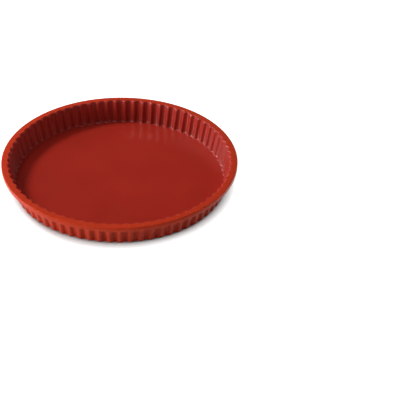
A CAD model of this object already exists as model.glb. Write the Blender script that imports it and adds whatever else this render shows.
import math

import bpy
from mathutils import Matrix, Vector


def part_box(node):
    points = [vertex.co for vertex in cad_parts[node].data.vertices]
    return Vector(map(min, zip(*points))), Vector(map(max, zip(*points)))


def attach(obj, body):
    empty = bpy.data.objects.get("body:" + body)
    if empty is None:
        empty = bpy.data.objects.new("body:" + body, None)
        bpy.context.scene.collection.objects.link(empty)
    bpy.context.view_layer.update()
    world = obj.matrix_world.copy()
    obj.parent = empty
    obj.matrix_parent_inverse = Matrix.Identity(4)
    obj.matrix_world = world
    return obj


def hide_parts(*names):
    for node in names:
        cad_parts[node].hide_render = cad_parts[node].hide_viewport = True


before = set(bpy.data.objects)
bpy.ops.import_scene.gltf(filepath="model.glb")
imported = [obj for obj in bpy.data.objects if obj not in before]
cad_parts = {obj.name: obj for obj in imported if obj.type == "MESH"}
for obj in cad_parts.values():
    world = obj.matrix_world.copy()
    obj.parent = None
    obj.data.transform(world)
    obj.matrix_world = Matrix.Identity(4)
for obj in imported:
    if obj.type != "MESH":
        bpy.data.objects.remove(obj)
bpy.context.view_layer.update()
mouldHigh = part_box("mould")[1]
rimRadius = mouldHigh.x  # the rim is the widest part
rimTop = mouldHigh.z
mm = 0.001

print("frame loaded: rim radius", round(rimRadius / mm, 1), "mm")


# Camera

# The photographed rim is an ellipse: these place the lens so that the rim, the base and the
# flutes fall where the photograph has them. Distances are in rim radii.
shot = {
    "back": (0.6933, -6.8477, 4.5654),  # lens from the middle of the rim's plane
    "right": (0.99914, 0.02446, 0.03356),  # picture's horizontal in the mould's frame
    "up": (-0.04153, 0.5884, 0.8075),  # picture's vertical in the mould's frame
    "sensor": 36.0,
    "focal": 965.0,  # in pixels of a 400 pixel wide picture
    "picture": 400.0,
    "nearest": 0.05,  # what the lens sees starts and ends at these distances, in metres
    "farthest": 50.0,
}


def makeCamera():
    data = bpy.data.cameras.new("photoCamera")
    camera = bpy.data.objects.new("photoCamera", data)
    bpy.context.scene.collection.objects.link(camera)
    data.sensor_width = shot["sensor"]
    data.lens = shot["sensor"] * shot["focal"] / shot["picture"]
    data.clip_start = shot["nearest"]
    data.clip_end = shot["farthest"]
    right = Vector(shot["right"]).normalized()
    back = right.cross(Vector(shot["up"])).normalized()
    up = back.cross(right)
    turn = Matrix((right, up, back)).transposed().to_4x4()
    place = Vector(shot["back"]) * rimRadius + Vector((0, 0, rimTop))
    camera.matrix_world = Matrix.Translation(place) @ turn
    bpy.context.scene.camera = camera


makeCamera()
print("camera placed")


# Materials

# What the silicone's and the plastic's finishes share
moulded = {
    "ior": 1.41,  # silicone rubber
    # Detail and roughness of the noises that colour, grain and smear a surface
    "cloudNoise": (3.0, 0.5),
    "grainNoise": (4.0, 0.6),
    "smearNoise": (5.0, 0.55),
    "noiseSpan": (0.3, 0.7),  # where most of a noise's values lie
}


def newMaterial(name):
    material = bpy.data.materials.new(name)
    material.use_nodes = True
    tree = material.node_tree
    tree.nodes.clear()
    output = tree.nodes.new("ShaderNodeOutputMaterial")
    shader = tree.nodes.new("ShaderNodeBsdfPrincipled")
    tree.links.new(shader.outputs["BSDF"], output.inputs["Surface"])
    return material, tree, shader


def noiseTexture(tree, coordinates, scale, detail, roughness):
    noise = tree.nodes.new("ShaderNodeTexNoise")
    noise.inputs["Scale"].default_value = scale
    noise.inputs["Detail"].default_value = detail
    noise.inputs["Roughness"].default_value = roughness
    tree.links.new(coordinates, noise.inputs["Vector"])
    return noise.outputs["Fac"]


def spread(tree, value, low, high):
    mapped = tree.nodes.new("ShaderNodeMapRange")
    mapped.inputs["From Min"].default_value = moulded["noiseSpan"][0]
    mapped.inputs["From Max"].default_value = moulded["noiseSpan"][1]
    mapped.inputs["To Min"].default_value = low
    mapped.inputs["To Max"].default_value = high
    tree.links.new(value, mapped.inputs["Value"])
    return mapped.outputs["Result"]


def mixColour(tree, factor, low, high):
    mix = tree.nodes.new("ShaderNodeMix")
    mix.data_type = "RGBA"
    mix.inputs["A"].default_value = (*low, 1)
    mix.inputs["B"].default_value = (*high, 1)
    tree.links.new(factor, mix.inputs["Factor"])
    return mix.outputs["Result"]


def makeMoulded(name, finish):
    material, tree, shader = newMaterial(name)
    place = tree.nodes.new("ShaderNodeTexCoord").outputs["Object"]
    cloud = noiseTexture(tree, place, finish["cloudScale"], *moulded["cloudNoise"])
    grain = noiseTexture(tree, place, finish["grainScale"], *moulded["grainNoise"])
    smear = noiseTexture(tree, place, finish["smearScale"], *moulded["smearNoise"])
    colour = mixColour(tree, spread(tree, cloud, 0, 1), finish["dark"], finish["light"])
    tree.links.new(colour, shader.inputs["Base Color"])
    roughness = spread(tree, smear, finish["glossiest"], finish["dullest"])
    tree.links.new(roughness, shader.inputs["Roughness"])
    bump = tree.nodes.new("ShaderNodeBump")
    bump.inputs["Strength"].default_value = finish["grainStrength"]
    bump.inputs["Distance"].default_value = finish["grainDepth"]
    tree.links.new(grain, bump.inputs["Height"])
    tree.links.new(bump.outputs["Normal"], shader.inputs["Normal"])
    shader.inputs["IOR"].default_value = moulded["ior"]
    shader.inputs["Specular IOR Level"].default_value = finish["specular"]
    shader.inputs["Specular Tint"].default_value = (*finish["gloss"], 1)
    return material


# The core of the mould's tool is polished, so the cavity is glossier than the outside.
cavityFinish = {
    "dark": (0.310, 0.0180, 0.0102),
    "light": (0.345, 0.0200, 0.0114),
    "cloudScale": 18.0,
    "grainScale": 900.0,
    "grainStrength": 0.08,
    "grainDepth": 0.0002,
    "smearScale": 26.0,
    "glossiest": 0.20,
    "dullest": 0.27,
    "specular": 0.55,
    "gloss": (1.0, 1.0, 1.0),
}
outsideFinish = {
    "dark": (0.400, 0.0300, 0.0105),
    "light": (0.440, 0.0335, 0.0118),
    "cloudScale": 22.0,
    "grainScale": 1400.0,
    "grainStrength": 0.15,
    "grainDepth": 0.0002,
    "smearScale": 40.0,
    "glossiest": 0.22,
    "dullest": 0.30,
    "specular": 0.18,
    "gloss": (1.0, 0.36, 0.20),
}
ringFinish = {
    "dark": (0.150, 0.0140, 0.0080),
    "light": (0.190, 0.0180, 0.0100),
    "cloudScale": 30.0,
    "grainScale": 1600.0,
    "grainStrength": 0.2,
    "grainDepth": 0.0002,
    "smearScale": 60.0,
    "glossiest": 0.38,
    "dullest": 0.5,
    "specular": 0.5,
    "gloss": (1.0, 1.0, 1.0),
}

cavitySilicone = makeMoulded("cavitySilicone", cavityFinish)
outsideSilicone = makeMoulded("outsideSilicone", outsideFinish)
ringPlastic = makeMoulded("ringPlastic", ringFinish)
print("materials made")


# Mould

# Sizes are in millimetres. Heights are above the table, radii are from the mould's axis.
shell = {
    "flutes": 70,
    "columns": 18,  # steps round one flute
    "draft": 12.0,  # slope of the wall in degrees
    "ridgeInset": 10.0,  # rim's edge in to the tips of the ridges, at the top
    "fluteDepth": 2.7,
    "ridgeShare": 0.31,  # part of a flute that the ridge in the cavity takes
    "valleyShare": 0.45,  # part of a flute that the valley outside takes
    "outsideDepth": 2.6,  # a little over the valleys' depth, because the valleys are rounded
    "wall": 1.64,
    "base": 2.0,
    "baseRings": (30.0, 70.0, 105.0),  # extra rings of points on the flat base
    "rimHeight": 5.4,
    "lip": 2.7,
    "groove": 3.0,
    "grooveDepth": 3.6,
    "gateStub": 1.2,
    "gateDish": 4.5,
    "gateDepth": 0.8,
    "weld": 0.001,  # points nearer than this are joined
    # Radius at a flute, radius at a ridge or valley, and steps of each rounding
    "roundings": {
        "gateEdge": (0.15, 0.15, 2),
        "gateFoot": (0.3, 0.3, 3),
        "baseEdge": (2.8, 1.0, 7),
        "underRim": (0.7, 2.2, 7),
        "grooveInner": (0.25, 0.25, 2),
        "grooveRoof": (0.15, 0.15, 1),
        "grooveOuter": (0.3, 0.3, 2),
        "rimUnderside": (0.8, 0.8, 5),
        "rimTop": (0.8, 0.8, 6),
        "mouth": (0.7, 2.4, 7),
        "floorCorner": (2.5, 1.0, 6),
    },
}


def cornerArc(before, corner, after, radius, steps):
    # Points of the arc that rounds the corner between two straight runs
    c = Vector(corner)
    a = (Vector(before) - c).normalized()
    b = (Vector(after) - c).normalized()
    half = a.angle(b) / 2
    centre = c + (a + b).normalized() * radius / math.sin(half)
    first = c + a * radius / math.tan(half) - centre
    last = c + b * radius / math.tan(half) - centre
    sweep = first.angle_signed(last)
    turns = [Matrix.Rotation(-sweep * i / steps, 2) for i in range(steps + 1)]
    return [tuple(centre + turn @ first) for turn in turns]


def section(onRidge):
    # Half section of the mould, from the middle of its underside round to the middle of its
    # floor: through a ridge and the valley behind it, or through the middle of a flute
    s = shell
    rim = rimRadius / mm
    top = rimTop / mm
    slope = math.tan(math.radians(s["draft"]))
    floor = s["base"]
    under = top - s["rimHeight"]
    grooveOut = rim - s["lip"]
    grooveIn = grooveOut - s["groove"]
    roof = under + s["grooveDepth"]
    stub = s["gateStub"]
    dish = s["gateDish"]
    deep = s["gateDepth"]

    def inside(z):
        ridge = rim - s["ridgeInset"] - (top - z) * slope
        return (ridge if onRidge else ridge + s["fluteDepth"], z)

    def outside(z):
        crest = rim - s["ridgeInset"] - (top - z) * slope + s["fluteDepth"] + s["wall"]
        return (crest - s["outsideDepth"] if onRidge else crest, z)

    def rounded(name, before, corner, after):
        fluteRadius, ridgeRadius, steps = s["roundings"][name]
        return cornerArc(before, corner, after, ridgeRadius if onRidge else fluteRadius, steps)

    outer = [(0, deep / 2)]
    outer += rounded("gateEdge", (0, deep / 2), (stub, deep / 2), (stub, deep))
    outer += rounded("gateEdge", (stub, 0), (stub, deep), (dish, deep))
    outer += rounded("gateFoot", (stub, deep), (dish, deep), (dish, 0))
    outer += rounded("gateEdge", (dish, deep), (dish, 0), (rim, 0))
    outer += [(r, 0) for r in s["baseRings"]]
    outer += rounded("baseEdge", (0, 0), outside(0), outside(under))
    outer += [outside(under / 2)]
    outer += rounded("underRim", outside(0), outside(under), (rim, under))
    outer += rounded("grooveInner", outside(under), (grooveIn, under), (grooveIn, roof))
    outer += rounded("grooveRoof", (grooveIn, under), (grooveIn, roof), (grooveOut, roof))
    outer += rounded("grooveRoof", (grooveIn, roof), (grooveOut, roof), (grooveOut, under))
    outer += rounded("grooveOuter", (grooveOut, roof), (grooveOut, under), (rim, under))
    outer += rounded("rimUnderside", (grooveOut, under), (rim, under), (rim, top))
    outer += rounded("rimTop", (rim, under), (rim, top), inside(top))
    inner = rounded("mouth", (rim, top), inside(top), inside(0))
    inner += [inside(top / 2)]
    inner += rounded("floorCorner", inside(top), inside(floor), (0, floor))
    inner += [(r, floor) for r in reversed(s["baseRings"])]
    inner += [(0, floor)]
    return outer, inner


def sectionMesh(name):
    # The section at a ridge is the mesh, and the step from there to the section at the
    # middle of a flute is a vector on each of its points
    ridgeOuter, ridgeInner = section(onRidge=True)
    fluteOuter, fluteInner = section(onRidge=False)
    lows = [Vector((r, 0, z)) * mm for r, z in ridgeOuter + ridgeInner]
    highs = [Vector((r, 0, z)) * mm for r, z in fluteOuter + fluteInner]
    mesh = bpy.data.meshes.new(name)
    mesh.from_pydata(lows, [(i, i + 1) for i in range(len(lows) - 1)], [])
    step = mesh.attributes.new("fluteStep", "FLOAT_VECTOR", "POINT")
    step.data.foreach_set("vector", [c for a, b in zip(lows, highs) for c in b - a])
    cavity = mesh.attributes.new("cavitySide", "FLOAT", "POINT")
    cavity.data.foreach_set("value", [0.0] * len(ridgeOuter) + [1.0] * len(ridgeInner))
    return mesh


class Tree:
    # Short ways to add and link nodes in a geometry tree
    def __init__(self, name, sizes):
        self.group = bpy.data.node_groups.new(name, "GeometryNodeTree")
        sockets = self.group.interface
        sockets.new_socket("Geometry", in_out="INPUT", socket_type="NodeSocketGeometry")
        sockets.new_socket("Geometry", in_out="OUTPUT", socket_type="NodeSocketGeometry")
        for label, kind in sizes.items():
            sockets.new_socket(label, in_out="INPUT", socket_type=kind)
        self.start = self.group.nodes.new("NodeGroupInput")
        self.end = self.group.nodes.new("NodeGroupOutput")

    def node(self, kind, inputs=None, **settings):
        made = self.group.nodes.new(kind)
        for key, value in settings.items():
            setattr(made, key, value)
        for key, value in (inputs or {}).items():
            self.feed(made.inputs[key], value)
        return made

    def feed(self, socket, value):
        if isinstance(value, bpy.types.NodeSocket):
            self.group.links.new(value, socket)
        else:
            socket.default_value = value

    def math(self, operation, a, b=0.0):
        return self.node("ShaderNodeMath", {0: a, 1: b}, operation=operation).outputs[0]

    def size(self, label):
        return self.start.outputs[label]

    def stored(self, label, kind):
        read = self.node("GeometryNodeInputNamedAttribute", {"Name": label}, data_type=kind)
        return read.outputs[0]


def waveShare(tree, along, half, depth, share):
    # How far out the wall is, from 0 at the ridge to 1 at the middle of the flute: two arcs
    # that touch, the ridge's own taking its share of the width
    def squared(value):
        return tree.math("MULTIPLY", value, value)

    def sagitta(radius, offset):
        left = tree.math("SUBTRACT", squared(radius), squared(offset))
        return tree.math("SUBTRACT", radius, tree.math("SQRT", tree.math("MAXIMUM", left, 0.0)))

    both = tree.math(
        "DIVIDE",
        tree.math("ADD", squared(depth), squared(half)),
        tree.math("MULTIPLY", depth, 2.0),
    )
    ridgeRadius = tree.math("MULTIPLY", both, share)
    fluteRadius = tree.math("SUBTRACT", both, ridgeRadius)
    rest = tree.math("SUBTRACT", half, along)
    ridge = sagitta(ridgeRadius, along)
    flute = tree.math("SUBTRACT", depth, sagitta(fluteRadius, rest))
    onRidge = tree.math("LESS_THAN", along, tree.math("MULTIPLY", half, share))
    out = tree.node(
        "GeometryNodeSwitch", {0: onRidge, 1: flute, 2: ridge}, input_type="FLOAT"
    )
    return tree.math("DIVIDE", out.outputs[0], depth)


def fluteSlice(tree, pitchAngle):
    # One flute from a ridge to the next: a grid with a row for each point of the section and
    # a column for each step, bent to the section and to the wave of the wall
    profile = tree.size("Geometry")
    columns = tree.size("Columns")
    points = tree.node("GeometryNodeAttributeDomainSize", {0: profile}).outputs["Point Count"]
    last = tree.math("SUBTRACT", points, 1.0)
    grid = tree.node(
        "GeometryNodeMeshGrid",
        {
            "Size X": last,
            "Size Y": columns,
            "Vertices X": points,
            "Vertices Y": tree.math("ADD", columns, 1.0),
        },
    ).outputs["Mesh"]
    spot = tree.node(
        "ShaderNodeSeparateXYZ", {0: tree.node("GeometryNodeInputPosition").outputs[0]}
    )
    row = tree.math("ROUND", tree.math("ADD", spot.outputs["X"], tree.math("DIVIDE", last, 2.0)))
    phase = tree.math("ADD", tree.math("DIVIDE", spot.outputs["Y"], columns), 0.5)

    def sampled(kind, value):
        node = tree.node("GeometryNodeSampleIndex", data_type=kind, domain="POINT")
        tree.feed(node.inputs["Geometry"], profile)
        tree.feed(node.inputs["Value"], value)
        tree.feed(node.inputs["Index"], row)
        return node.outputs[0]

    low = sampled("FLOAT_VECTOR", tree.node("GeometryNodeInputPosition").outputs[0])
    step = sampled("FLOAT_VECTOR", tree.stored("fluteStep", "FLOAT_VECTOR"))
    cavity = sampled("FLOAT", tree.stored("cavitySide", "FLOAT"))
    half = tree.math("MULTIPLY", tree.math("MULTIPLY", pitchAngle, tree.size("Wall Radius")), 0.5)
    fromMiddle = tree.math("ABSOLUTE", tree.math("SUBTRACT", phase, 0.5))
    nearness = tree.math("SUBTRACT", 1.0, tree.math("MULTIPLY", fromMiddle, 2.0))
    along = tree.math("MULTIPLY", nearness, half)
    waves = {}
    for side, part in (("Inside", "Ridge"), ("Outside", "Valley")):
        depth = tree.size(side + " Depth")
        waves[side] = waveShare(tree, along, half, depth, tree.size(part + " Share"))
    wave = tree.node(
        "ShaderNodeMix",
        {"Factor": cavity, "A": waves["Outside"], "B": waves["Inside"]},
        data_type="FLOAT",
    ).outputs["Result"]
    place = tree.node(
        "ShaderNodeVectorMath", {0: step, 1: wave, 2: low}, operation="MULTIPLY_ADD"
    ).outputs[0]
    turned = tree.node(
        "ShaderNodeVectorRotate",
        {"Vector": place, "Angle": tree.math("MULTIPLY", phase, pitchAngle)},
        rotation_type="Z_AXIS",
    ).outputs[0]
    marked = tree.node(
        "GeometryNodeStoreNamedAttribute",
        {"Geometry": grid, "Name": "cavitySide", "Value": cavity},
        data_type="FLOAT",
        domain="POINT",
    ).outputs[0]
    shaped = tree.node("GeometryNodeSetPosition", {"Geometry": marked, "Position": turned})
    return shaped.outputs[0]


def flutedShellTree():
    tree = Tree(
        "flutedShell",
        {
            "Flutes": "NodeSocketInt",
            "Columns": "NodeSocketInt",
            "Wall Radius": "NodeSocketFloat",
            "Inside Depth": "NodeSocketFloat",
            "Ridge Share": "NodeSocketFloat",
            "Outside Depth": "NodeSocketFloat",
            "Valley Share": "NodeSocketFloat",
            "Weld": "NodeSocketFloat",
            "Outside Material": "NodeSocketMaterial",
            "Cavity Material": "NodeSocketMaterial",
        },
    )
    flutes = tree.size("Flutes")
    pitchAngle = tree.math("DIVIDE", 2 * math.pi, flutes)
    # The slice is repeated round the axis and its copies are joined where they meet
    spots = tree.node("GeometryNodePoints", {"Count": flutes}).outputs[0]
    turn = tree.node(
        "ShaderNodeCombineXYZ",
        {"Z": tree.math("MULTIPLY", tree.node("GeometryNodeInputIndex").outputs[0], pitchAngle)},
    ).outputs[0]
    slices = tree.node(
        "GeometryNodeInstanceOnPoints",
        {"Points": spots, "Instance": fluteSlice(tree, pitchAngle), "Rotation": turn},
    ).outputs[0]
    real = tree.node("GeometryNodeRealizeInstances", {"Geometry": slices}).outputs[0]
    joined = tree.node(
        "GeometryNodeMergeByDistance", {"Geometry": real, "Distance": tree.size("Weld")}
    ).outputs[0]
    outward = tree.node("GeometryNodeFlipFaces", {"Mesh": joined}).outputs[0]
    smooth = tree.node("GeometryNodeSetShadeSmooth", {0: outward}).outputs[0]
    painted = tree.node(
        "GeometryNodeSetMaterial", {"Geometry": smooth, "Material": tree.size("Outside Material")}
    ).outputs[0]
    inCavity = tree.math("GREATER_THAN", tree.stored("cavitySide", "FLOAT"), 0.5)
    painted = tree.node(
        "GeometryNodeSetMaterial",
        {"Geometry": painted, "Selection": inCavity, "Material": tree.size("Cavity Material")},
    ).outputs[0]
    tree.group.links.new(painted, tree.end.inputs["Geometry"])
    return tree.group


def growPiece(name, mesh, group, values):
    # Runs a geometry tree on a mesh and keeps the result as a plain mesh
    piece = bpy.data.objects.new(name, mesh)
    bpy.context.scene.collection.objects.link(piece)
    modifier = piece.modifiers.new("grow", "NODES")
    modifier.node_group = group
    for item in group.interface.items_tree:
        if item.item_type == "SOCKET" and item.in_out == "INPUT" and item.name in values:
            modifier[item.identifier] = values[item.name]
    piece.update_tag()
    graph = bpy.context.evaluated_depsgraph_get()
    plain = bpy.data.meshes.new_from_object(piece.evaluated_get(graph))
    plain.name = name
    piece.modifiers.clear()
    piece.data = plain
    if plain.materials[0] is None:
        plain.materials.pop(index=0)  # the grid's own slot, which no face uses
    return piece


def makeMould():
    # The flutes' waves are laid out at the middle of the wall's height
    wallDrop = rimTop / 2 * math.tan(math.radians(shell["draft"]))
    wallRadius = rimRadius - shell["ridgeInset"] * mm - wallDrop
    mould = growPiece(
        "flutedMould",
        sectionMesh("mouldSection"),
        flutedShellTree(),
        {
            "Flutes": shell["flutes"],
            "Columns": shell["columns"],
            "Wall Radius": wallRadius,
            "Inside Depth": shell["fluteDepth"] * mm,
            "Ridge Share": shell["ridgeShare"],
            "Outside Depth": shell["outsideDepth"] * mm,
            "Valley Share": shell["valleyShare"],
            "Weld": shell["weld"] * mm,
            "Outside Material": outsideSilicone,
            "Cavity Material": cavitySilicone,
        },
    )
    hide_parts("mould")
    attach(mould, "root")
    return mould


mould = makeMould()
print("mould grown:", len(mould.data.vertices), "points", len(mould.data.polygons), "faces")


# Support ring: the CAD ring has the right shape and takes the plastic's finish

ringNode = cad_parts["support_ring"]
ringNode.data.materials.clear()
ringNode.data.materials.append(ringPlastic)
print("ring finished")


# Studio

studio = {
    "floorSize": 14.0,
    "paperBounce": (0.90, 0.90, 0.90),  # what the paper throws back at the mould
    "floorColour": (0.40, 0.44, 0.43),  # what the camera sees, so that the shadow stays dark
    "paperRoughness": 0.9,
    "floorGlow": 1.0,  # white paper that the camera sees, on top of what the lamps give it
    "shadeReach": 0.025,  # the glow fades where the mould is this near
    "shadeDark": 0.36,  # openness up to which there is no glow, and from which it is full
    "shadeLight": 0.69,
    # The world's brightness by the sine of the height above the horizon
    "paperTop": 0.08,
    "roomBottom": 0.24,
    "paperStrength": 1.0,
    "roomStrength": 0.035,
    "lampDistance": 1.6,
    # Bearing from +X and height above the floor in degrees, side in metres and power in watts
    "softboxes": {
        "key": (160, 45, 0.35, 18.5),
        "keyFoot": (150, 25, 0.45, 6.0),
        "backHigh": (150, 68, 0.6, 5.6),
        "lowLeft": (194, 8, 0.45, 4.0),
        "lowFrontLeft": (205, 9, 0.45, 13.5),
        "frontLeft": (240, 42, 0.45, 2.0),
        "right": (0, 25, 0.7, 4.0),
    },
}


def seenByCamera(tree):
    # 1 for what the camera sees straight, in a gloss or through glass, 0 for other rays
    rays = tree.nodes.new("ShaderNodeLightPath")
    total = rays.outputs["Is Camera Ray"]
    for label in ("Is Glossy Ray", "Is Transmission Ray"):
        larger = tree.nodes.new("ShaderNodeMath")
        larger.operation = "MAXIMUM"
        tree.links.new(total, larger.inputs[0])
        tree.links.new(rays.outputs[label], larger.inputs[1])
        total = larger.outputs[0]
    return total


def makePaper():
    # Pale paper that the camera sees white, except in the mould's shadow
    material, tree, shader = newMaterial("floorPaper")
    seen = seenByCamera(tree)
    colour = mixColour(tree, seen, studio["paperBounce"], studio["floorColour"])
    tree.links.new(colour, shader.inputs["Base Color"])
    shader.inputs["Roughness"].default_value = studio["paperRoughness"]
    shader.inputs["Emission Color"].default_value = (1, 1, 1, 1)
    cover = tree.nodes.new("ShaderNodeAmbientOcclusion")
    cover.inputs["Distance"].default_value = studio["shadeReach"]
    fade = tree.nodes.new("ShaderNodeMapRange")
    fade.inputs["From Min"].default_value = studio["shadeDark"]
    fade.inputs["From Max"].default_value = studio["shadeLight"]
    fade.inputs["To Max"].default_value = studio["floorGlow"]
    tree.links.new(cover.outputs["AO"], fade.inputs["Value"])
    glow = tree.nodes.new("ShaderNodeMath")
    glow.operation = "MULTIPLY"
    tree.links.new(fade.outputs["Result"], glow.inputs[1])
    tree.links.new(seen, glow.inputs[0])
    tree.links.new(glow.outputs[0], shader.inputs["Emission Strength"])
    return material


def makeFloor():
    half = studio["floorSize"] / 2
    mesh = bpy.data.meshes.new("floor")
    corners = [(-half, -half, 0), (half, -half, 0), (half, half, 0), (-half, half, 0)]
    mesh.from_pydata(corners, [], [(0, 1, 2, 3)])
    mesh.materials.append(makePaper())
    floor = bpy.data.objects.new("floor", mesh)
    bpy.context.scene.collection.objects.link(floor)


def addSoftbox(name, bearing, height, side, power):
    data = bpy.data.lights.new(name, "AREA")
    data.shape = "SQUARE"
    data.size = side
    data.energy = power
    light = bpy.data.objects.new(name, data)
    bpy.context.scene.collection.objects.link(light)
    turn = math.radians(bearing)
    rise = math.radians(height)
    flat = math.cos(rise)
    away = Vector((flat * math.cos(turn), flat * math.sin(turn), math.sin(rise)))
    light.location = away * studio["lampDistance"]
    light.rotation_mode = "QUATERNION"
    light.rotation_quaternion = away.to_track_quat("Z", "Y")


def makeWorld():
    # White paper up to a low horizon, and the dim room above it
    world = bpy.data.worlds.new("studioWorld")
    bpy.context.scene.world = world
    world.use_nodes = True
    tree = world.node_tree
    tree.nodes.clear()
    output = tree.nodes.new("ShaderNodeOutputWorld")
    room = tree.nodes.new("ShaderNodeBackground")
    direction = tree.nodes.new("ShaderNodeTexCoord").outputs["Generated"]
    axes = tree.nodes.new("ShaderNodeSeparateXYZ")
    tree.links.new(direction, axes.inputs[0])
    fade = tree.nodes.new("ShaderNodeMapRange")
    fade.interpolation_type = "SMOOTHSTEP"
    fade.inputs["From Min"].default_value = studio["paperTop"]
    fade.inputs["From Max"].default_value = studio["roomBottom"]
    fade.inputs["To Min"].default_value = studio["paperStrength"]
    fade.inputs["To Max"].default_value = studio["roomStrength"]
    tree.links.new(axes.outputs["Z"], fade.inputs["Value"])
    tree.links.new(fade.outputs["Result"], room.inputs["Strength"])
    tree.links.new(room.outputs[0], output.inputs["Surface"])


makeFloor()
makeWorld()
for name, setting in studio["softboxes"].items():
    addSoftbox(name, *setting)
bpy.context.scene.view_settings.view_transform = "Standard"
print("studio lit")
